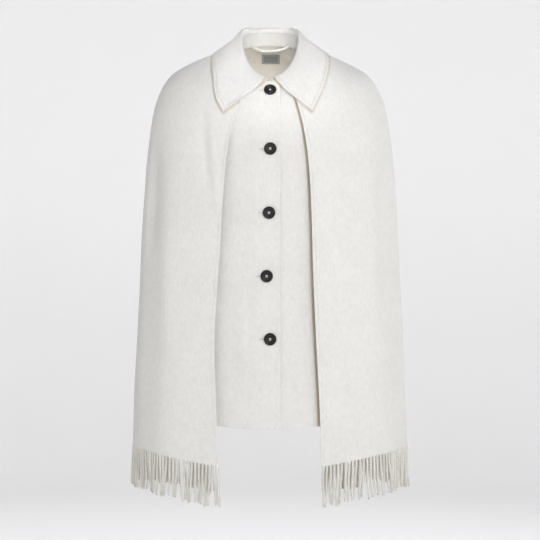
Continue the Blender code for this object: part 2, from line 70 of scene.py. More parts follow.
# %% [markdown]
# ## The camera
# The photo was taken straight on, with a long lens and the garment filling most of the height. A real
# camera could be matched by eye with the view's own handles, but three numbers say it better: how far
# away it stands, how high, and how many pixels one radian covers.

# %% The camera
CAMERA_DISTANCE = 3.5
CAMERA_HEIGHT = -0.4066
PIXELS_PER_UNIT_SLOPE = 1842.1
PHOTO_PIXELS = 540
SENSOR = 36.0

camera_data = bpy.data.cameras.new("camera")
camera_data.sensor_width = SENSOR
camera_data.lens = SENSOR * PIXELS_PER_UNIT_SLOPE / PHOTO_PIXELS
camera = bpy.data.objects.new("camera", camera_data)
camera.location = (0.0, -CAMERA_DISTANCE, CAMERA_HEIGHT)
camera.rotation_euler = (math.radians(90.0), 0.0, 0.0)
bpy.context.scene.collection.objects.link(camera)
bpy.context.scene.camera = camera
print("lens", round(camera_data.lens, 1), "mm")

# %% [markdown]
# ## Materials from a few nodes
# A material is a small graph. Writing each node and each link in full makes long cells, so one helper
# adds a node and sets its values, and another joins two sockets. Constant values go straight on to the
# shader's own sockets.


# %% Helpers for materials
class Finish:
    """A material whose nodes are added one by one."""

    def __init__(self, name, **constants):
        self.material = bpy.data.materials.new(name)
        self.material.use_nodes = True
        self.tree = self.material.node_tree
        self.shader = self.tree.nodes["Principled BSDF"]
        for socket, value in constants.items():
            self.shader.inputs[socket.replace("_", " ")].default_value = value

    def add(self, kind, inputs=None, **settings):
        """Add a node. Inputs are values or other nodes' outputs, by socket name or number."""
        node = self.tree.nodes.new(kind)
        for name, value in settings.items():
            setattr(node, name, value)
        for socket, value in (inputs or {}).items():
            if isinstance(value, bpy.types.NodeSocket):
                self.tree.links.new(value, node.inputs[socket])
            else:
                node.inputs[socket].default_value = value
        return node

    def place(self, scale=(1.0, 1.0, 1.0), turn=(0.0, 0.0, 0.0)):
        """Object coordinates, stretched and turned."""
        where = self.add("ShaderNodeTexCoord").outputs["Object"]
        mapping = self.add("ShaderNodeMapping", {"Vector": where, "Scale": scale, "Rotation": turn})
        return mapping.outputs["Vector"]

    def attribute(self, name):
        """A number that the mesh keeps at each of its points."""
        return self.add("ShaderNodeAttribute", attribute_name=name).outputs["Fac"]

    def noise(self, where, scale, detail=2.0, roughness=0.5):
        values = {"Vector": where, "Scale": scale, "Detail": detail, "Roughness": roughness}
        return self.add("ShaderNodeTexNoise", values).outputs["Fac"]

    def math(self, operation, first, second=0.0, third=0.0):
        return self.add("ShaderNodeMath", {0: first, 1: second, 2: third}, operation=operation).outputs[0]

    def ramp(self, value, stops):
        """A colour for a value: stops are (place, colour)."""
        node = self.add("ShaderNodeValToRGB", {"Fac": value})
        points = node.color_ramp.elements
        while len(points) < len(stops):
            points.new(0.5)
        for point, (place, color) in zip(points, stops):
            point.position = place
            point.color = (*color, 1.0)
        return node.outputs["Color"]

    def mix(self, part, first, second):
        """The first colour with a part of the second. The sockets for colours come last on this node."""
        return self.add("ShaderNodeMix", {0: part, 6: first, 7: second}, data_type="RGBA").outputs[2]

    def color(self, output):
        self.tree.links.new(output, self.shader.inputs["Base Color"])

    def relief(self, height):
        """Bump from a height in metres."""
        bump = self.add("ShaderNodeBump", {"Height": height, "Strength": 1.0, "Distance": 1.0})
        self.tree.links.new(bump.outputs["Normal"], self.shader.inputs["Normal"])


# %% [markdown]
# ## Cream wool
# The cloth is a thick, brushed, double-faced wool. From a step away it has no weave: it shows a fine
# mottled nap that lies slightly across the cloth, and soft tones where the felt is denser. Three noises
# do this, one for the flecks, one stretched along the nap, and one broad. Along a sewn edge the stitches
# pull in a groove, which reads the distance to that edge from the mesh, and the groove is painted a
# little darker as shade. Two more attributes of the mesh change the tone: cloth close beside the edge of
# a layer that lies over it gets a painted warm shadow, and the strands of the fringe differ a little, with
# the back fringes painted darker as shade in the gaps between the front strands.

# %% Wool
WOOL_LIGHT = (0.885, 0.876, 0.838)
WOOL_DARK = (0.775, 0.764, 0.718)
FLECK_SCALE = 480.0
NAP_SCALE = 175.0
NAP_STRETCH = (1.0, 1.0, 0.55)
NAP_TURN = (0.0, math.radians(62.0), 0.0)
NAP_SHARE = 0.55
NAP_HEIGHT = 0.00105
BROAD_SCALE = 13.0
BROAD_SHARE = 0.18
ALL_DARK = 0.30
ALL_LIGHT = 0.62
STITCH_INSET = 0.0055
GROOVE_HALF_WIDTH = 0.0014
GROOVE_DEPTH = 0.0006
GROOVE_PAINTED_SHADING = 0.10
# A warm painted shadow along the edges of the layers that lie over the cloth.
PAINTED_SHADOW = (0.640, 0.560, 0.430)
PAINTED_SHADOW_FULL = 0.0030
PAINTED_SHADOW_GONE = 0.0062
# Strands are mixed towards this by a tone of their own: random, and darker on the back fringes as painted
# shade.
STRAND_TONE_AND_SHADING_DARK = (0.560, 0.530, 0.450)


def make_wool(name, light, dark, relief=1.0, with_painted_shadow=False, streaked=False):
    """A wool. Wool with a painted shadow turns warm beside a layer over it, and streaked wool differs by
    strand.
    """
    wool = Finish(name, Roughness=0.95, Sheen_Weight=0.22, Sheen_Roughness=0.45, Specular_IOR_Level=0.18)
    fleck = wool.noise(wool.place(), FLECK_SCALE, 3.0, 0.6)
    nap = wool.noise(wool.place(NAP_STRETCH, NAP_TURN), NAP_SCALE, 3.0, 0.62)
    broad = wool.noise(wool.place(), BROAD_SCALE, 2.0, 0.5)
    mottle = wool.math("MULTIPLY_ADD", nap, NAP_SHARE, wool.math("MULTIPLY", fleck, 1.0 - NAP_SHARE))
    tone = wool.math("MULTIPLY_ADD", broad, BROAD_SHARE, wool.math("MULTIPLY", mottle, 1.0 - BROAD_SHARE))
    cloth = wool.ramp(tone, ((ALL_DARK, dark), (ALL_LIGHT, light)))
    away = wool.math("ABSOLUTE", wool.math("SUBTRACT", wool.attribute("edge_distance"), STITCH_INSET))
    off = wool.math("MINIMUM", wool.math("DIVIDE", away, GROOVE_HALF_WIDTH), 1.0)
    soft = wool.math("SMOOTH_MIN", wool.math("SUBTRACT", 1.0, off), 0.8, 0.3)
    # Painted shadow: cloth close to the edge of a layer over it is mixed towards tan.
    if with_painted_shadow:
        ends = {"From Min": PAINTED_SHADOW_FULL, "From Max": PAINTED_SHADOW_GONE, "To Min": 1.0, "To Max": 0.0}
        near = wool.add("ShaderNodeMapRange", {"Value": wool.attribute("painted_shadow_distance"), **ends})
        cloth = wool.mix(near.outputs[0], cloth, (*PAINTED_SHADOW, 1.0))
    # By strand: a random tone, darker on the back fringes as painted shade in the gaps between the front
    # strands.
    if streaked:
        cloth = wool.mix(wool.attribute("tone_and_shading_by_strand"), cloth, (*STRAND_TONE_AND_SHADING_DARK, 1.0))
    # The groove is also painted a little darker, as shade in it.
    wool.color(wool.mix(wool.math("MULTIPLY", soft, GROOVE_PAINTED_SHADING), cloth, (*dark, 1.0)))
    dip = wool.math("MULTIPLY", soft, -GROOVE_DEPTH)
    wool.relief(wool.math("MULTIPLY_ADD", mottle, NAP_HEIGHT * relief, dip))
    return wool.material


wool_cloth = make_wool("cream_wool_cloth", WOOL_LIGHT, WOOL_DARK)
# The same wool with a painted warm shadow beside the layers that lie over it.
wool_with_painted_shadow = make_wool("cream_wool_painted_shadow", WOOL_LIGHT, WOOL_DARK, with_painted_shadow=True)
wool_inside = make_wool("cream_wool_inside", (0.925, 0.868, 0.762), (0.845, 0.780, 0.660))
# The stand's wool is a darker copy, painted shade where it sits under the leaf's fold.
stand_wool_painted_shading = make_wool("cream_stand_wool_painted_shading", (0.700, 0.684, 0.640), (0.640, 0.620, 0.568))
wool_yarn = make_wool("cream_wool_yarn", (0.93, 0.912, 0.860), (0.74, 0.710, 0.635), 0.8, streaked=True)
sewing_thread = make_wool("cream_thread", (0.86, 0.845, 0.79), (0.76, 0.74, 0.68), 0.2)
print("wool, yarn and thread ready")

# %% [markdown]
# ## Reading a cloth's side from the fixed model
# Each cloth piece of the model is a thin closed wall of loose triangles. The visible cloth is made from
# one side of that wall, so that it has exactly the garment's shape. The copy is merged, cut apart along
# its sharp edges, and its largest side is kept and joined back into a grid of four-sided faces. Modelling
# the cloth again by eye would drift from the real sizes, which is why this way was chosen.

# %% One side of a wall
MERGE = 0.00001
SHARP = math.radians(50.0)
GRID_FIRST = 2.0
LEVELS = 3
HAIR = 1e-9


def cloth_side(node, facing=None):
    """One side of a thin wall as a four-sided grid: the largest, or of the two the one that faces a way."""
    side = bmesh.new()
    side.from_mesh(frame["nodes"][node].data)
    bmesh.ops.remove_doubles(side, verts=side.verts[:], dist=MERGE)
    side.normal_update()
    regions = []
    seen = set()
    for first in side.faces:
        if first in seen:
            continue
        region = []
        waiting = [first]
        seen.add(first)
        while waiting:
            face = waiting.pop()
            region.append(face)
            for edge in face.edges:
                if edge.is_manifold and edge.calc_face_angle() < SHARP:
                    fresh = [other for other in edge.link_faces if other not in seen]
                    seen.update(fresh)
                    waiting.extend(fresh)
        regions.append(region)
    regions.sort(key=lambda region: -sum(face.calc_area() for face in region))
    if facing:
        regions = sorted(regions[:2], key=lambda region: -sum(face.normal.dot(facing) for face in region))
    keep = set(regions[0])
    bmesh.ops.delete(side, geom=[face for face in side.faces if face not in keep], context="FACES")
    bmesh.ops.join_triangles(
        side,
        faces=side.faces[:],
        angle_face_threshold=math.pi,
        angle_shape_threshold=math.pi,
        topology_influence=GRID_FIRST,
    )
    return side


def smoothed(side):
    """The same side with each face divided and smoothed, its corners kept."""
    mesh = bpy.data.meshes.new("coarse")
    side.to_mesh(mesh)
    side.free()
    holder = bpy.data.objects.new("coarse", mesh)
    bpy.context.scene.collection.objects.link(holder)
    divide = holder.modifiers.new("divide", "SUBSURF")
    divide.levels = LEVELS
    divide.render_levels = LEVELS
    divide.boundary_smooth = "PRESERVE_CORNERS"
    fine = bmesh.new()
    fine.from_object(holder, bpy.context.evaluated_depsgraph_get())
    bpy.data.objects.remove(holder)
    bpy.data.meshes.remove(mesh)
    fine.normal_update()
    return fine


def edge_runs(side):
    """The rim of a sheet, as one ordered list of points for each stretch between two corners."""
    rim = {}
    for edge in side.edges:
        if edge.is_boundary:
            for vert in edge.verts:
                rim.setdefault(vert, []).append(edge)
    corners = [vert for vert in rim if len(vert.link_edges) == 2]
    runs = []
    done = set()
    for corner in corners:
        for edge in rim[corner]:
            if edge in done:
                continue
            run = [corner]
            while edge is not None:
                done.add(edge)
                run.append(edge.other_vert(run[-1]))
                onward = [other for other in rim[run[-1]] if other not in done]
                edge = onward[0] if onward and run[-1] not in corners else None
            runs.append([vert.co.copy() for vert in run])
    return runs


def mean(run, axis):
    return sum(point[axis] for point in run) / len(run)


def run_length(run):
    return sum((after - before).length for before, after in zip(run, run[1:]))


def even_points(run, spacing):
    """Points at an even spacing along a run, with both its ends."""
    total = run_length(run)
    count = max(round(total / spacing), 1)
    points = []
    walked = 0.0
    target = 0.0
    for before, after in zip(run, run[1:]):
        length = (after - before).length
        while len(points) <= count and target <= walked + length + HAIR:
            part = (target - walked) / length if length else 0.0
            points.append(before.lerp(after, min(max(part, 0.0), 1.0)))
            target = total * len(points) / count
        walked += length
    return points


class EdgeLine:
    """Distances to a set of runs, read from close points along them."""

    SPACING = 0.0005

    def __init__(self, runs):
        points = [point for run in runs for point in even_points(run, self.SPACING)]
        self.tree = KDTree(len(points))
        for index, point in enumerate(points):
            self.tree.insert(point, index)
        self.tree.balance()

    def distance(self, point):
        return self.tree.find(point)[2]


print("each face of a side becomes", 4**LEVELS, "smaller ones")

# %% [markdown]
# ## Creases
# Cloth this thick does not wrinkle. It makes a few long, soft bends that start where it is held and fade
# out below. Each is written as a line on the garment, given in degrees round the body and by its height,
# with a width and a depth. A negative depth is a trough. Angle 0 is the middle of the front, and positive
# angles go to the wearer's left. A simulation could make folds too, but not these folds in these places.

# %% Creases
AROUND = 0.20
FADE = 0.8
Crease = namedtuple("Crease", "angle_from z_from angle_to z_to width depth")
CAPE_CREASES = [
    Crease(-50.0, -0.085, -38.0, -0.285, 0.013, -0.0035),
    Crease(-44.0, -0.110, -33.0, -0.330, 0.011, 0.0024),
    Crease(-74.0, -0.150, -72.0, -0.420, 0.017, -0.0072),
    Crease(-62.0, -0.220, -60.0, -0.560, 0.014, 0.0019),
    Crease(-66.0, -0.690, -38.0, -0.722, 0.007, -0.0022),
    Crease(-60.0, -0.665, -40.0, -0.690, 0.008, 0.0016),
    Crease(-48.0, -0.640, -36.0, -0.668, 0.009, -0.0016),
    Crease(52.0, -0.120, 45.0, -0.400, 0.015, -0.0019),
    Crease(70.0, -0.160, 66.0, -0.520, 0.017, -0.0049),
    Crease(40.0, -0.655, 62.0, -0.690, 0.008, -0.0016),
    Crease(36.0, -0.700, 58.0, -0.712, 0.008, 0.0016),
    Crease(78.0, -0.300, 80.0, -0.650, 0.019, 0.0038),
    Crease(112.0, -0.110, 117.0, -0.460, 0.022, -0.0093),
    Crease(128.0, -0.140, 133.0, -0.620, 0.026, 0.0071),
    Crease(143.0, -0.220, 146.0, -0.690, 0.017, -0.0071),
    Crease(-110.0, -0.120, -114.0, -0.500, 0.022, -0.0085),
    Crease(-126.0, -0.100, -131.0, -0.560, 0.026, 0.0078),
    Crease(-141.0, -0.260, -143.0, -0.700, 0.017, -0.0065),
]
JACKET_CREASES = [
    Crease(-12.0, -0.200, -6.0, -0.290, 0.010, -0.0011),
    Crease(-9.0, -0.330, -4.0, -0.400, 0.009, -0.0009),
    Crease(14.0, -0.590, 20.0, -0.650, 0.010, -0.0014),
    Crease(-24.0, -0.420, -18.0, -0.640, 0.014, 0.0014),
    Crease(22.0, -0.300, 17.0, -0.480, 0.012, -0.0014),
    Crease(170.0, -0.200, 176.0, -0.520, 0.027, -0.0078),
    Crease(-168.0, -0.260, -173.0, -0.640, 0.026, 0.0065),
    Crease(158.0, -0.380, 162.0, -0.660, 0.024, 0.0058),
]
COLLAR_CREASES = [
    Crease(-30.0, -0.040, -34.0, -0.098, 0.010, 0.0008),
    Crease(32.0, -0.035, 36.0, -0.095, 0.010, 0.0007),
    Crease(150.0, 0.055, 156.0, 0.010, 0.012, -0.0008),
]


def bell(off, width):
    """One on a line and next to nothing beyond its width."""
    return math.exp(-((off / width) ** 2))


def crease_depth(point, creases):
    """How far the creases push a point of the cloth out, or in where it is below nothing."""
    around = math.degrees(math.atan2(point.x, -point.y))
    total = 0.0
    for crease in creases:
        turn = (around - crease.angle_from + 180.0) % 360.0 - 180.0
        across = math.radians(turn) * AROUND
        down = point.z - crease.z_from
        span = math.radians(crease.angle_to - crease.angle_from) * AROUND
        drop = crease.z_to - crease.z_from
        length = math.hypot(span, drop)
        along = (across * span + down * drop) / (length * length)
        if not 0.0 < along < 1.0:
            continue
        off = (across * drop - down * span) / length
        total += crease.depth * bell(off, crease.width) * math.sin(math.pi * along) ** FADE
    return total


print("creases", len(CAPE_CREASES) + len(JACKET_CREASES) + len(COLLAR_CREASES))

# %% [markdown]
# ## From a shape to a piece
# Every piece ends the same way: its mesh is put in the scene with its material, it is said to ride on the
# garment, and it may stand for a node of the fixed model. Edges that a bevel can find by their angle are
# rounded with one that stays on the piece, because it can be changed later.


# %% Pieces
def make_piece(name, shape, material, replaced=None):
    """Make a piece of a shape, ride it on the garment and hide the node that it stands for."""
    mesh = bpy.data.meshes.new(name)
    shape.to_mesh(mesh)
    shape.free()
    mesh.materials.append(material)
    mesh.shade_smooth()
    piece = bpy.data.objects.new(name, mesh)
    bpy.context.scene.collection.objects.link(piece)
    if replaced:
        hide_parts(replaced)
    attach(piece, "root")
    print(name, len(mesh.polygons), "faces")
    return piece


def round_edges(piece, width, segments, angle):
    """Round the edges that are sharper than an angle, in degrees."""
    soften = piece.modifiers.new("round", "BEVEL")
    soften.width = width
    soften.segments = segments
    soften.limit_method = "ANGLE"
    soften.angle_limit = math.radians(angle)


# %% [markdown]
# ## From a side to a cloth
# A sheet of paper has no edge, and wool has. Once the side is creased it is given its thickness inwards,
# so that the outer face stays where it was measured, and the cut edges are rounded over. A turned-up hem
# shows as a faint line, a lapped edge lifts, and a sewn edge has its groove. Where another layer lies over
# the cloth, each point keeps its distance from that layer's edge, which the painted warm shadow reads.

# %% Making a cloth piece
Cloth = namedtuple("Cloth", "runs stitched surface")
CLOTH_WALL = 0.0025
EDGE_ROUND = 0.0010
EDGE_SEGMENTS = 3
EDGE_ANGLE = 55.0
WAVE_SIZE = 0.11
HEM_LINE_WIDTH = 0.0035
HEM_LINE_DEPTH = 0.0006
LAP_WIDTH = 0.0075
LAP_LIFT = 0.0018
LEAF_STANDS_OFF = 0.0012
FAR = 1.0


def lowest_run(runs):
    """The edge at the bottom of a sheet, which is its hem."""
    return min(runs, key=lambda run: mean(run, 2))


def clear_of(run, point):
    """How far a point lies beside an edge that hangs down, towards the middle of the garment."""
    below = [at for at in run if at.z <= point.z]
    above = [at for at in run if at.z >= point.z]
    if not below or not above:
        return FAR
    low = max(below, key=lambda at: at.z)
    high = min(above, key=lambda at: at.z)
    part = (point.z - low.z) / (high.z - low.z) if high.z > low.z else 0.0
    return abs(low.x + (high.x - low.x) * part) - abs(point.x)


def lay_cloth(
    node,
    creases,
    wave,
    wall=CLOTH_WALL,
    facing=None,
    stitched=None,
    grooved=False,
    hem=None,
    lap=None,
    shape=None,
    under=None,
    beside=None,
    material=wool_cloth,
    inside=None,
    slot="cream_wool",
):
    """Make the visible cloth of a node.

    Stitched and lap are tests that pick edges, hem is how far up its turned layer reaches, and shape moves
    single points. The cloth lies under one cloth and beside another, and close to their edges its colour gets
    a painted warm shadow.
    """
    fine = smoothed(cloth_side(node, facing))
    runs = edge_runs(fine)
    stitch_line = EdgeLine([run for run in runs if stitched(run)]) if stitched else None
    lap_line = EdgeLine([run for run in runs if lap(run)]) if lap else None
    hem_line = EdgeLine([lowest_run(runs)]) if hem else None
    leaf_line = EdgeLine(under.stitched) if under else None
    shade = fine.verts.layers.float.new("painted_shadow_distance") if under else None
    sewn = fine.verts.layers.float.new("edge_distance")
    moves = []
    for vert in fine.verts:
        vert[sewn] = stitch_line.distance(vert.co) if stitch_line else FAR
        push = crease_depth(vert.co, creases) + wave * noise.noise(vert.co / WAVE_SIZE)
        if hem:
            push -= HEM_LINE_DEPTH * bell(hem_line.distance(vert.co) - hem, HEM_LINE_WIDTH)
        if lap:
            push += LAP_LIFT * bell(lap_line.distance(vert.co), LAP_WIDTH)
        if grooved:
            push -= GROOVE_DEPTH * bell(vert[sewn] - STITCH_INSET, GROOVE_HALF_WIDTH)
        # The distance read by the painted warm shadow: to the leaf's edge, and beside a cape panel's free
        # edge.
        if under:
            clear = clear_of(beside.stitched[0], vert.co) if beside else FAR
            vert[shade] = min(clear, leaf_line.distance(vert.co) - LEAF_STANDS_OFF)
        moves.append(vert.normal * push + (shape(vert.co) if shape else Vector()))
    for vert, move in zip(fine.verts, moves):
        vert.co += move
    fine.normal_update()
    runs = edge_runs(fine)
    cloth = Cloth(runs, [run for run in runs if stitched and stitched(run)], BVHTree.FromBMesh(fine))
    area = sum(face.calc_area() for face in fine.faces)
    print(node, round(area, 4), "square metres, edges", [round(run_length(run), 3) for run in runs])
    piece = make_piece(f"{node}_cloth", fine, material, node)
    thicken = piece.modifiers.new("wall", "SOLIDIFY")
    thicken.thickness = wall
    thicken.offset = -1.0
    thicken.use_even_offset = False
    if inside:
        piece.data.materials.append(inside)
        thicken.material_offset = 1
    round_edges(piece, EDGE_ROUND, EDGE_SEGMENTS, EDGE_ANGLE)
    return cloth


# %% [markdown]
# ## The collar
# The collar is a low stand and a leaf that turns over it. The leaf is sewn round 5.5 mm inside its edge,
# which gives the flat, crisp rim that tailored wool has. The stand holds the fold up at both ends of the
# back neck, so from the front its top is a flat line with two corners. The solid's fold is a plain arch,
# and a soft lift at each corner squares it.

# %% The collar
COLLAR_WALL = 0.003
COLLAR_WAVE = 0.0005
FOLD_FROM = 0.018
FOLD_RISE = 0.030
FOLD_CORNER = 0.050
FOLD_CORNER_WIDTH = 0.016
FOLD_LIFT = 0.0068
LONG_EDGE = 0.5


def is_leaf_edge(run):
    """An edge of the leaf that is seen: all but the seam with the stand."""
    return mean(run, 2) < 0.0 or run_length(run) > LONG_EDGE


def square_fold(point):
    """Lift the fold of the collar at both ends of the back neck, where the stand holds it up."""
    held = min(max((point.z - FOLD_FROM) / FOLD_RISE, 0.0), 1.0)
    return Vector((0.0, 0.0, FOLD_LIFT * held * bell(abs(point.x) - FOLD_CORNER, FOLD_CORNER_WIDTH)))


leaf = lay_cloth(
    "collar_leaf",
    COLLAR_CREASES,
    COLLAR_WAVE,
    wall=COLLAR_WALL,
    stitched=is_leaf_edge,
    grooved=True,
    shape=square_fold,
)
# The stand wears the darker wool, painted shade under the leaf's fold.
lay_cloth("collar_stand", [], 0.0, material=stand_wool_painted_shading, shape=square_fold)

# %% [markdown]
# ## The cape
# The cape is four panels. Two hang in front and two behind, and a seam over the shoulder and down the arm
# joins a front one to a back one. All four share one list of creases, so a bend that crosses the seam
# carries on. The edges towards the middle are turned and sewn down 5.5 mm in.

# %% The cape's panels
CAPE_WAVE = 0.0016
INNER_EDGE_REACH = 0.14


def is_inner_edge(run):
    """The long edge of a cape panel that hangs free towards the middle of the garment."""
    return run_length(run) > LONG_EDGE and abs(mean(run, 0)) < INNER_EDGE_REACH


# The panels carry the painted warm shadow along the collar leaf's edge.
cape = {}
for side in ("right", "left"):
    for place in ("front", "back"):
        cape[place, side] = lay_cloth(
            f"cape_{place}_{side}",
            CAPE_CREASES,
            CAPE_WAVE,
            stitched=is_inner_edge,
            under=leaf,
            material=wool_with_painted_shadow,
            inside=wool_inside,
        )

# %% [markdown]
# ## The jacket
# The right front laps over the left one, so its edge lies 3 mm further out and lifts a little. A coat's
# hem is turned up about 50 mm inside, and the turned layer shows through as a faint line across the
# cloth. The cape's left front lies over the jacket with a free edge, and beside it, as under the collar's
# leaf, the jacket's colour has a painted warm shadow.

# %% The jacket's fronts and back
HEM_TURN = 0.052
JACKET_WAVE = 0.0007
LAP_REACH = 0.05
# The jacket's wool has the painted warm shadow along the leaf's edge and beside the cape.
JACKET_WOOL = {"hem": HEM_TURN, "under": leaf, "material": wool_with_painted_shadow, "inside": wool_inside}


def is_lap_edge(run):
    """The long edge of a front in the middle of the garment."""
    return run_length(run) > LONG_EDGE and abs(mean(run, 0)) < LAP_REACH


jacket_right = lay_cloth("jacket_front_right", JACKET_CREASES, JACKET_WAVE, lap=is_lap_edge, **JACKET_WOOL)
lay_cloth("jacket_front_left", JACKET_CREASES, JACKET_WAVE, beside=cape["front", "left"], **JACKET_WOOL)
lay_cloth("jacket_back", JACKET_CREASES, JACKET_WAVE, **JACKET_WOOL)

# %% [markdown]
# ## Rolling a grid into a tube
# Fringe yarns, the hanger loop and the sewing are all tubes. A tube is a flat grid rolled round a route:
# one side of the grid runs along the route and the other goes round it. The shape of the cut across can
# change on the way, which is how a yarn of two plies gets its twist.


# %% Tubes
DOWN = Vector((0.0, 0.0, -1.0))
AHEAD = Vector((0.0, 1.0, 0.0))
TUBE_MERGE = 1e-7


def roll_tube(shape, rings, sides, outline=None):
    """Roll a grid round a route and give its points. A ring is a centre and two axes, its half widths."""
    grid = bmesh.ops.create_grid(shape, x_segments=sides, y_segments=len(rings) - 1, size=0.5)["verts"]
    for vert in grid:
        share = vert.co.y + 0.5
        angle = math.tau * (vert.co.x + 0.5)
        centre, first, second = rings[round(share * (len(rings) - 1))]
        reach = outline(share, angle) if outline else 1.0
        vert.co = centre + first * (reach * math.cos(angle)) + second * (reach * math.sin(angle))
    bmesh.ops.remove_doubles(shape, verts=grid, dist=TUBE_MERGE)
    return [vert for vert in grid if vert.is_valid]


def rings_along(points, ahead, width, depth, taper, spread=None):
    """Rings at each point of a route, with one axis kept as near as can be to the way ahead points."""
    rings = []
    for index, point in enumerate(points):
        before = points[max(index - 1, 0)]
        after = points[min(index + 1, len(points) - 1)]
        tangent = (after - before).normalized()
        across = (ahead - tangent * ahead.dot(tangent)).normalized()
        share = index / (len(points) - 1)
        size = taper(share)
        wide = spread(share) if spread else 1.0
        rings.append((point, across * (width * size * wide), tangent.cross(across) * (depth * size / wide)))
    return rings


def round_ends(length, radius):
    """A taper that rounds both ends of a tube."""

    def taper(share):
        away = min(share, 1.0 - share) * length
        return math.sqrt(max(1.0 - (1.0 - min(away / radius, 1.0)) ** 2, 0.0))

    return taper


def closed_piece(name, shape, material, replaced=None):
    """Make a piece of closed tubes or turnings, with their faces pointing outwards."""
    bmesh.ops.recalc_face_normals(shape, faces=shape.faces[:])
    return make_piece(name, shape, material, replaced)


# %% [markdown]
# ## Sewing along the edges
# The two faces of a double-faced wool are turned in at an edge and caught together by short stitches. A
# sewer would work them from the inside with a long needle, so only a small dip and a fleck of thread show.
# Each stitch is the same small round, stretched and turned. There are many, so it has few faces.

# %% One stitch
round_model = bmesh.new()
bmesh.ops.create_uvsphere(round_model, u_segments=6, v_segments=4, radius=1.0)
stitch_mesh = bpy.data.meshes.new("stitch")
round_model.to_mesh(stitch_mesh)
round_model.free()


def add_stitch(shape, centre, along, normal, half_length, radius):
    """One short stitch that lies on the cloth, half sunk in it."""
    across = normal.cross(along).normalized()
    turn = Matrix((along, across, normal)).transposed().to_4x4()
    place = Matrix.Translation(centre) @ turn @ Matrix.Diagonal((half_length, radius, radius, 1.0))
    stitch_mesh.transform(place)
    shape.from_mesh(stitch_mesh)
    stitch_mesh.transform(place.inverted())


print("one stitch has", len(stitch_mesh.polygons), "faces")

# %% Edge stitches
STITCH_PITCH = 0.0042
STITCH_HALF_LENGTH = 0.0013
STITCH_RADIUS = 0.00028
OFF_LIMIT = 0.3 * STITCH_INSET
CORNER_LIMIT = 0.96 * STITCH_INSET


def sew_edge(shape, cloth):
    """Lay stitches beside each stitched edge of a cloth, but none where they would cross at a corner."""
    border = EdgeLine(cloth.stitched)
    laid = 0
    for run in cloth.stitched:
        points = even_points(run, STITCH_PITCH)
        for before, point, after in zip(points, points[1:], points[2:]):
            along = (after - before).normalized()
            normal = cloth.surface.find_nearest(point)[1]
            inward = normal.cross(along).normalized() * STITCH_INSET
            found = [cloth.surface.find_nearest(point + step) for step in (inward, -inward)]
            spot, normal, _, off = min(found, key=lambda hit: hit[3])
            if off < OFF_LIMIT and border.distance(spot) > CORNER_LIMIT:
                along = (along - normal * along.dot(normal)).normalized()
                add_stitch(shape, spot, along, normal, STITCH_HALF_LENGTH, STITCH_RADIUS)
                laid += 1
    return laid


sewing = bmesh.new()
stitch_count = sum(sew_edge(sewing, cloth) for cloth in (leaf, *cape.values()))
closed_piece("edge_stitches", sewing, sewing_thread)
print("stitches", stitch_count)

# %% [markdown]
# ## Fringe
# The fringe is the cloth's own warp: at the hem the cross threads are drawn out and the rest are twisted
# together by twos. So each strand starts inside the hem, hangs down with a slight wave and ends in a
# loose tip. Neighbours lean together by threes, which opens gaps. Hair curves could do it, but solid
# yarns of two plies show their twist close up and cast real shadows.

# %% The cut across a yarn
STRAND_REACH = 0.0775
PLY_OFFSET = 0.00125
PLY_RADIUS = 0.00158
TWIST_PITCH = 0.0115
ROOT_LENGTH = 0.016
ROOT_RADIUS = PLY_RADIUS * 1.25
ROOT_SPREAD = 1.25
LOOSE_FROM = 0.90
LOOSE_APART = 0.25
LOOSE_THINNER = 0.62


def mix(first, second, part):
    return first + (second - first) * part


def two_plies(turns, start):
    """The cut across a yarn of two plies: two circles side by side, turning on the way down."""

    def outline(share, angle):
        off = angle - start - math.tau * turns * share
        loose = max(share - LOOSE_FROM, 0.0) / (1.0 - LOOSE_FROM)
        offset = PLY_OFFSET * (1.0 + LOOSE_APART * loose)
        ply = PLY_RADIUS * (1.0 - LOOSE_THINNER * loose)
        reach = offset * abs(math.cos(off)) + math.sqrt(max(ply**2 - (offset * math.sin(off)) ** 2, 0.0))
        return mix(ROOT_RADIUS, max(reach, 0.5 * ply), min(share * STRAND_REACH / ROOT_LENGTH, 1.0))

    return outline


def flat_root(share):
    """How much wider than deep a strand is: flat where it leaves the cloth, round further down."""
    return mix(ROOT_SPREAD, 1.0, min(share * STRAND_REACH / ROOT_LENGTH, 1.0) ** 0.7)


print("turns in a strand", round(STRAND_REACH / TWIST_PITCH, 1))

# %% The four fringes
STRAND_PITCH = 0.0071
STRAND_UNEVEN = 0.007
STRAND_ROOT = 0.004
STRAND_RINGS = 44
STRAND_SIDES = 12
TIP_ROUND = 0.0018
CLUMP = 3
CLUMP_PULL = 0.10
CLUMP_LEAN = 0.009
STRAY = 0.005
LIFTS = (-0.0025, 0.0035)
WAVES = (0.0003, 0.0011)
NEARBY = 0.01
FIRST_SEED = 40
TONE_SEED = 100
# Each strand's tone is random in its range; the back range is darker, painted shade for the gaps between
# front strands.
STRAND_TONE_RANGES_WITH_PAINTED_BACK_SHADING = {"front": (0.02, 0.34), "back": (0.35, 0.95)}


def point_on(run, share):
    """The point at a share of a run's length."""
    target = share * run_length(run)
    for before, after in zip(run, run[1:]):
        length = (after - before).length
        if target <= length:
            return before.lerp(after, target / length)
        target -= length
    return run[-1].copy()


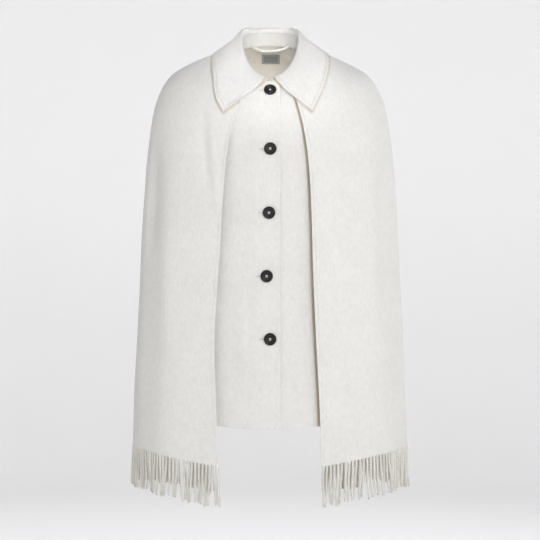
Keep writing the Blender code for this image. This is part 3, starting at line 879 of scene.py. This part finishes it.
def add_fringe(name, cloth, seed, tone_and_shading_range):
    """A row of strands along the hem of a cloth. The wave of a strand turns as it runs down."""
    rng = random.Random(seed)
    tones = random.Random(seed + TONE_SEED)
    hem = lowest_run(cloth.runs)
    if hem[0].x > hem[-1].x:
        hem = hem[::-1]
    count = round(run_length(hem) / STRAND_PITCH)
    shape = bmesh.new()
    tone_layer = shape.verts.layers.float.new("tone_and_shading_by_strand")
    leans = [rng.uniform(-0.5, 0.5) for _ in range(count // CLUMP + 2)]
    for index in range(count):
        place = (index + 0.5) / count
        edge = point_on(hem, place)
        before, after = point_on(hem, max(place - NEARBY, 0.0)), point_on(hem, min(place + NEARBY, 1.0))
        along = (after - before).normalized()
        normal = cloth.surface.find_nearest(edge)[1]
        root = edge - normal * (0.5 * CLOTH_WALL) - DOWN * STRAND_ROOT
        middle = (index // CLUMP + 0.5) * CLUMP - 0.5
        pull = (middle - index) * STRAND_PITCH * CLUMP_PULL + leans[index // CLUMP] * CLUMP_LEAN
        stray = rng.uniform(-1.0, 1.0) ** 3 * STRAY
        lift = rng.uniform(*LIFTS)
        wave = rng.uniform(*WAVES)
        phase = rng.uniform(0.0, math.tau)
        length = STRAND_ROOT + STRAND_REACH - rng.uniform(0.0, STRAND_UNEVEN)
        points = []
        for step in range(STRAND_RINGS + 1):
            share = step / STRAND_RINGS
            swing = (pull + stray) * share**1.5 + wave * share * math.sin(phase + math.tau * 1.4 * share)
            out = lift * share**1.6 + wave * 0.8 * share * math.cos(phase + math.tau * 1.1 * share)
            points.append(root + DOWN * (length * share) + along * swing + normal * out)
        rings = rings_along(points, along, 1.0, 1.0, round_ends(length, TIP_ROUND), flat_root)
        plies = two_plies(length / TWIST_PITCH, rng.uniform(0.0, math.tau))
        tone = tones.uniform(*tone_and_shading_range)
        for vert in roll_tube(shape, rings, STRAND_SIDES, plies):
            vert[tone_layer] = tone
    print("strands", count)
    return closed_piece(f"{name}_yarn", shape, wool_yarn, name)


for seed, (place, side) in enumerate(cape, FIRST_SEED):
    fringe = add_fringe(f"fringe_{place}_{side}", cape[place, side], seed, STRAND_TONE_RANGES_WITH_PAINTED_BACK_SHADING[place])

# %% [markdown]
# ## Buttons
# The five buttons look like polished horn: near black, with a raised rim, a ring cut inside it and a
# sunk middle with four holes. A turner would cut them from a plate, and the same steps are used here: one
# profile is spun, and four holes are drilled through. Each point of the profile is a share of the radius
# and a height. All five share the shape and sit where the fixed model has them.

# %% Horn
BUTTON_RADIUS = 0.0115
BUTTON_STEPS = 64
BUTTON_PROFILE = (
    (0.0, 0.0027),
    (0.47, 0.0027),
    (0.53, 0.0031),
    (0.60, 0.0034),
    (0.66, 0.0033),
    (0.70, 0.0036),
    (0.78, 0.0043),
    (0.88, 0.0045),
    (0.96, 0.0040),
    (1.0, 0.0029),
    (1.0, 0.0016),
    (0.95, 0.0006),
    (0.84, 0.0),
    (0.0, 0.0),
)
TURNING_MERGE = 1e-6
HOLE_RADIUS = 0.0010
HOLE_OFFSET = 0.0019
HOLE_SEGMENTS = 20
DRILL_LENGTH = 0.02
DRILL_Z = 0.002
HORN_BLACK = (0.006, 0.0055, 0.005)
HORN_BROWN = (0.030, 0.024, 0.019)
GRAIN_STRETCH = (1.0, 1.0, 5.0)
GRAIN_TURN = (0.0, math.radians(35.0), 0.0)

horn = Finish("polished_horn", Roughness=0.28, Specular_IOR_Level=0.26, Coat_Weight=0.06, Coat_Roughness=0.15)
grain = horn.noise(horn.place(GRAIN_STRETCH, GRAIN_TURN), 90.0, 4.0, 0.6)
horn.color(horn.ramp(grain, ((0.35, HORN_BLACK), (0.72, HORN_BROWN))))


def full_turn(shape, points, steps, merge):
    """Spin a profile all the way round and close its poles."""
    verts = [shape.verts.new(point) for point in points]
    edges = [shape.edges.new(pair) for pair in zip(verts, verts[1:])]
    bmesh.ops.spin(
        shape, geom=verts + edges, cent=(0, 0, 0), axis=(0, 0, 1), angle=math.tau, steps=steps, use_merge=True
    )
    bmesh.ops.remove_doubles(shape, verts=shape.verts[:], dist=merge)
    bmesh.ops.recalc_face_normals(shape, faces=shape.faces[:])


def turned_button():
    """One button at the origin, facing up: a spun profile with four holes through it."""
    blank = bmesh.new()
    profile = [(share * BUTTON_RADIUS, 0.0, height) for share, height in BUTTON_PROFILE]
    full_turn(blank, profile, BUTTON_STEPS, TURNING_MERGE)
    drills = bmesh.new()
    for quarter in range(4):
        turn = math.radians(45.0 + 90.0 * quarter)
        place = Matrix.Translation((HOLE_OFFSET * math.cos(turn), HOLE_OFFSET * math.sin(turn), DRILL_Z))
        bmesh.ops.create_cone(
            drills,
            cap_ends=True,
            segments=HOLE_SEGMENTS,
            radius1=HOLE_RADIUS,
            radius2=HOLE_RADIUS,
            depth=DRILL_LENGTH,
            matrix=place,
        )
    holders = []
    for shape in (blank, drills):
        mesh = bpy.data.meshes.new("turning")
        shape.to_mesh(mesh)
        shape.free()
        holder = bpy.data.objects.new("turning", mesh)
        bpy.context.scene.collection.objects.link(holder)
        holders.append(holder)
    drill = holders[0].modifiers.new("drill", "BOOLEAN")
    drill.operation = "DIFFERENCE"
    drill.object = holders[1]
    done = bmesh.new()
    done.from_object(holders[0], bpy.context.evaluated_depsgraph_get())
    for holder in holders:
        bpy.data.objects.remove(holder)
    return done


button_shape = turned_button()
button_mesh = bpy.data.meshes.new("button")
button_shape.to_mesh(button_mesh)
button_shape.free()
print("button faces", len(button_mesh.polygons))

# %% The five buttons
BUTTONS = [f"button_{number}" for number in range(1, 6)]
BUTTON_ROUND = 0.00022
BUTTON_ROUND_SEGMENTS = 2
BUTTON_ROUND_ANGLE = 28.0


def seat_of(node):
    """Where a round piece sits and which way it faces, read from its solid."""
    mesh = frame["nodes"][node].data
    flats = {}
    for face in mesh.polygons:
        way = face.normal.to_tuple(2)
        flats[way] = flats.get(way, 0.0) + face.area
    back = max(flats, key=flats.get)
    facing = sum((face.normal for face in mesh.polygons if face.normal.to_tuple(2) == back), Vector())
    facing = facing.normalized() * (-1.0 if facing.y > 0.0 else 1.0)
    places = {vert.co.to_tuple(6) for vert in mesh.vertices}
    centre = sum((Vector(place) for place in places), Vector()) / len(places)
    lowest = min((Vector(place) - centre).dot(facing) for place in places)
    return Matrix.Translation(centre + facing * lowest) @ facing.to_track_quat("Z", "Y").to_matrix().to_4x4()


for name in BUTTONS:
    shape = bmesh.new()
    shape.from_mesh(button_mesh)
    bmesh.ops.transform(shape, matrix=seat_of(name), verts=shape.verts[:])
    button = closed_piece(f"{name}_horn", shape, horn.material, name)
    round_edges(button, BUTTON_ROUND, BUTTON_ROUND_SEGMENTS, BUTTON_ROUND_ANGLE)

# %% [markdown]
# ## Thread and buttonholes
# Cream thread crosses each button from hole to hole. Each buttonhole is a slit edged with close purl
# stitches, with a thin dark tube along it as painted shade in the gap. It starts under the button and runs
# on to the wearer's right, where the cloth has pulled it.

# %% Button thread
THREAD_RADIUS = 0.00050
THREAD_APART = 0.55
THREAD_RISE = 0.0009
THREAD_SINK = 0.0005
THREAD_STEPS = 12
THREAD_SIDES = 8
BUTTON_FLOOR = BUTTON_PROFILE[0][1]

crosses = bmesh.new()
for name in BUTTONS:
    seat = seat_of(name)
    for turn in (math.radians(45.0), math.radians(135.0)):
        reach = Vector((math.cos(turn), math.sin(turn), 0.0)) * HOLE_OFFSET
        for strand in (-THREAD_APART, THREAD_APART):
            across = Vector((-reach.y, reach.x, 0.0)).normalized() * strand * THREAD_RADIUS
            route = []
            for step in range(THREAD_STEPS + 1):
                share = step / THREAD_STEPS
                arch = math.sin(math.pi * share) ** 0.6 * THREAD_RISE - THREAD_SINK + BUTTON_FLOOR
                route.append(seat @ (reach * (1.0 - 2.0 * share) + across + Vector((0.0, 0.0, arch))))
            ahead = seat.to_3x3() @ across.normalized()
            rings = rings_along(route, ahead, THREAD_RADIUS, THREAD_RADIUS, lambda share: 1.0)
            roll_tube(crosses, rings, THREAD_SIDES)
closed_piece("button_thread", crosses, sewing_thread)

# %% Buttonholes
HOLE_START = 0.004
HOLE_END = -0.0200
LOOK_FROM = 0.05
PURL_PITCH = 0.0008
PURL_HALF_LENGTH = 0.0011
PURL_RADIUS = 0.00045
PURL_AWAY = 0.0010
END_PURLS = 2
END_PURL_PITCH = 0.0007
END_PURL_HALF_LENGTH = 0.0013
END_PURL_BEYOND = 0.0004
SLIT_RADIUS = 0.00020
SLIT_LENGTH = 0.027
SLIT_TIP = 0.001
SLIT_PROUD = 0.0001
SLIT_SIDES = 6

# A thin dark tube along each slit is painted shade in the slit's gap.
slit_shade = Finish("slit_shade", Base_Color=(0.40, 0.36, 0.29, 1.0), Roughness=1.0)
purls = bmesh.new()
slit_shading_tubes = bmesh.new()
for name in BUTTONS:
    seat = seat_of(name).translation
    spots = []
    for number in range(round((HOLE_START - HOLE_END) / PURL_PITCH) + 1):
        aim = Vector((seat.x + HOLE_START - number * PURL_PITCH, seat.y - LOOK_FROM, seat.z))
        spot, normal, _, _ = jacket_right.surface.ray_cast(aim, AHEAD)
        if spot:
            spots.append((spot, normal))
    for spot, normal in spots:
        up = (-DOWN - normal * normal.z).normalized()
        for side in (-1.0, 1.0):
            add_stitch(purls, spot + up * side * PURL_AWAY, up, normal, PURL_HALF_LENGTH, PURL_RADIUS)
    spot, normal = spots[-1]
    along = Vector((1.0, 0.0, 0.0))
    along = (along - normal * along.dot(normal)).normalized()
    for number in range(-END_PURLS, END_PURLS + 1):
        end = spot + Vector((-END_PURL_BEYOND, 0.0, number * END_PURL_PITCH))
        add_stitch(purls, end, along, normal, END_PURL_HALF_LENGTH, PURL_RADIUS)
    route = [spot + normal * SLIT_PROUD for spot, normal in spots]
    rings = rings_along(route, -DOWN, SLIT_RADIUS, SLIT_RADIUS, round_ends(SLIT_LENGTH, SLIT_TIP))
    roll_tube(slit_shading_tubes, rings, SLIT_SIDES)
closed_piece("buttonhole_purl", purls, sewing_thread)
closed_piece("buttonhole_slit_shading_tubes", slit_shading_tubes, slit_shade.material)

# %% [markdown]
# ## Hanger loop
# The loop is a narrow strip of the same wool, sewn into the seam under the stand at both ends. Its weight
# makes it sag in the middle. In depth it follows the solid's curve, evened out so that it has no kink.

# %% The loop
LOOP_HALF_SPAN = 0.0359525
LOOP_TOP_Z = 0.0240
LOOP_LOW_Z = 0.0140
LOOP_SAG_POWER = 2.6
LOOP_SOLID_RADIUS = 0.0018
LOOP_HALF_HEIGHT = 0.0026
LOOP_HALF_DEPTH = 0.0014
LOOP_LENGTH = 0.08
LOOP_TIP = 0.0015
LOOP_SIDES = 14
LOOP_STEPS = 40
IN_FRONT = -0.02
EVENED = 3

loop_solid = bmesh.new()
loop_solid.from_mesh(frame["nodes"]["hanger_loop"].data)
loop_surface = BVHTree.FromBMesh(loop_solid)
loop_solid.free()
route = []
depths = []
for step in range(LOOP_STEPS + 1):
    share = 2.0 * step / LOOP_STEPS - 1.0
    height = LOOP_LOW_Z + (LOOP_TOP_Z - LOOP_LOW_Z) * abs(share) ** LOOP_SAG_POWER
    aim = Vector((share * LOOP_HALF_SPAN, IN_FRONT, height))
    front = loop_surface.find_nearest(aim)[0]
    depths.append(front.y + LOOP_SOLID_RADIUS)
    route.append(Vector((aim.x, 0.0, height)))
for index, point in enumerate(route):
    near = depths[max(index - EVENED, 0) : index + EVENED + 1]
    point.y = sum(near) / len(near)
strip = bmesh.new()
rings = rings_along(route, AHEAD, LOOP_HALF_DEPTH, LOOP_HALF_HEIGHT, round_ends(LOOP_LENGTH, LOOP_TIP))
roll_tube(strip, rings, LOOP_SIDES)
closed_piece("hanger_loop_strip", strip, wool_yarn, "hanger_loop")
print("loop length", round(run_length(route), 4))

# %% [markdown]
# ## Label
# A small woven label is sewn flat in the back neck. It is plain: grey satin ground, a lighter woven
# border and fine ribs. It follows the curve of the cloth that it is sewn to.

# %% The label
LABEL_WALL = 0.0007
LABEL_BORDER = 0.0022
LABEL_BORDER_HALF = 0.0005
LABEL_RIBS = 420.0
RIB_HEIGHT = 0.00012
LABEL_DARK = (0.22, 0.22, 0.195, 1.0)
LABEL_GREY = (0.31, 0.31, 0.275, 1.0)
LABEL_PALE = (0.58, 0.58, 0.52, 1.0)

tape = Finish("label_weave", Roughness=0.6, Sheen_Weight=0.1)
wave = tape.add("ShaderNodeTexWave", {"Vector": tape.place(), "Scale": LABEL_RIBS}, bands_direction="Z")
rib = wave.outputs["Fac"]
away = tape.math("ABSOLUTE", tape.math("SUBTRACT", tape.attribute("edge_distance"), LABEL_BORDER))
border = tape.math("LESS_THAN", away, LABEL_BORDER_HALF)
tape.color(tape.mix(border, tape.mix(rib, LABEL_DARK, LABEL_GREY), LABEL_PALE))
tape.relief(tape.math("MULTIPLY", rib, RIB_HEIGHT))

label = lay_cloth(
    "neck_label",
    [],
    0.0,
    wall=LABEL_WALL,
    facing=-AHEAD,
    stitched=lambda run: True,
    material=tape.material,
    slot="label_tape",
)

# %% The label's stitches
TACK_HALF_LENGTH = 0.0012
TACK_RADIUS = 0.0003
TACK_INSET = 0.08

tacks = bmesh.new()
for run in label.runs:
    middle = sum(run, Vector()) / len(run)
    for end, onward in ((run[0], run[1]), (run[-1], run[-2])):
        spot, normal, _, _ = label.surface.find_nearest(end.lerp(middle, TACK_INSET))
        add_stitch(tacks, spot, (onward - end).normalized(), normal, TACK_HALF_LENGTH, TACK_RADIUS)
closed_piece("label_tacks", tacks, sewing_thread)

# %% [markdown]
# ## The cut of each cloth
# A pattern cutter would want the size of each piece before it was sewn. A cut is a record of the width
# and length of the rectangle that a cloth's cut fits in, the cut's own area in square metres, how the cloth
# is held and what it rests on. Only the record is made here; no cloth is given one.

# %% Sheets
Cut = namedtuple("Cut", "width length area held rests_on")

# %% [markdown]
# ## The stage
# A garment is shown in a bare pale studio. One turned sweep makes the floor and the wall round it, so no
# corner shows behind the garment from any side.

# %% The stage
FLOOR_Z = -1.45
STAGE_REACH = 5.2
STAGE_CURVE = 1.6
STAGE_TOP = 4.2
CURVE_STEPS = 12
STAGE_STEPS = 96
PAPER = (0.825, 0.812, 0.805, 1.0)

profile = [(0.0, 0.0, FLOOR_Z), (STAGE_REACH, 0.0, FLOOR_Z)]
for step in range(1, CURVE_STEPS + 1):
    turn = math.radians(90.0 * step / CURVE_STEPS)
    rise = STAGE_CURVE * (1.0 - math.cos(turn))
    profile.append((STAGE_REACH + STAGE_CURVE * math.sin(turn), 0.0, FLOOR_Z + rise))
profile.append((STAGE_REACH + STAGE_CURVE, 0.0, STAGE_TOP))
sweep = bmesh.new()
full_turn(sweep, profile, STAGE_STEPS, MERGE)
stage_mesh = bpy.data.meshes.new("stage")
sweep.to_mesh(stage_mesh)
sweep.free()
stage_mesh.shade_smooth()
paper = Finish("pale_paper", Base_Color=PAPER, Roughness=1.0)
stage_mesh.materials.append(paper.material)
stage = bpy.data.objects.new("stage", stage_mesh)
bpy.context.scene.collection.objects.link(stage)
print("stage faces", len(stage_mesh.polygons))

# %% [markdown]
# ## The light
# The photo's light is soft and comes from the right of the picture, with enough fill that nothing goes
# dark. Two wide panels in front give it, one above and one level with the garment. A small lamp with a
# narrow beam looks into the collar, a weak one hangs overhead, and one stands behind, so that the back has
# shape too. The background is paler than the cloth's shades, so it has lamps of its own: a ring of eight
# that face the wall, and a wide one that faces the floor.

# %% The light
Lamp = namedtuple("Lamp", "name place aim size power beam")
DAYLIGHT = (0.955, 0.972, 1.0)
SKY = (0.97, 0.98, 1.0, 1.0)
SKY_STRENGTH = 0.03
WIDE = 180.0
LAMPS = [
    Lamp("key", (1.3, -2.7, 1.2), (0.0, 0.0, -0.35), 1.3, 12.0, WIDE),
    Lamp("level", (0.7, -3.0, 0.45), (0.0, 0.0, -0.3), 1.5, 30.0, WIDE),
    Lamp("collar", (0.12, -1.6, 0.10), (0.0, 0.05, 0.0), 0.2, 0.086, 10.0),
    Lamp("top", (-0.4, -0.5, 2.4), (0.0, 0.0, 0.0), 1.2, 4.0, WIDE),
    Lamp("back", (2.2, 2.2, 0.9), (0.0, 0.0, -0.3), 0.9, 26.0, WIDE),
    Lamp("floor", (0.0, 0.0, -1.0), (0.0, 0.0, -2.0), 7.0, 10.0, WIDE),
]
WALL_LAMPS = 8
WALL_LAMP_REACH = 2.6
WALL_LAMP_HEIGHT = 1.6
WALL_LAMP_AIM = -0.5
WALL_LAMP_SIZE = 1.8
WALL_LAMP_POWER = 63.0
for number in range(WALL_LAMPS):
    way = Matrix.Rotation(math.tau * number / WALL_LAMPS, 3, "Z")
    place = way @ Vector((0.0, WALL_LAMP_REACH, WALL_LAMP_HEIGHT))
    aim = way @ Vector((0.0, STAGE_REACH + STAGE_CURVE, WALL_LAMP_AIM))
    LAMPS.append(Lamp(f"wall_{number}", place, aim, WALL_LAMP_SIZE, WALL_LAMP_POWER, WIDE))
for lamp in LAMPS:
    light = bpy.data.lights.new(lamp.name, "AREA")
    light.energy = lamp.power
    light.color = DAYLIGHT
    light.size = lamp.size
    light.spread = math.radians(lamp.beam)
    holder = bpy.data.objects.new(lamp.name, light)
    holder.visible_camera = False
    holder.location = lamp.place
    holder.rotation_euler = (Vector(lamp.aim) - Vector(lamp.place)).to_track_quat("-Z", "Y").to_euler()
    bpy.context.scene.collection.objects.link(holder)

world = bpy.data.worlds.new("studio")
world.use_nodes = True
sky = world.node_tree.nodes["Background"]
sky.inputs["Color"].default_value = SKY
sky.inputs["Strength"].default_value = SKY_STRENGTH
bpy.context.scene.world = world
bpy.context.scene.view_settings.view_transform = "Standard"
print("lamps", len(LAMPS))
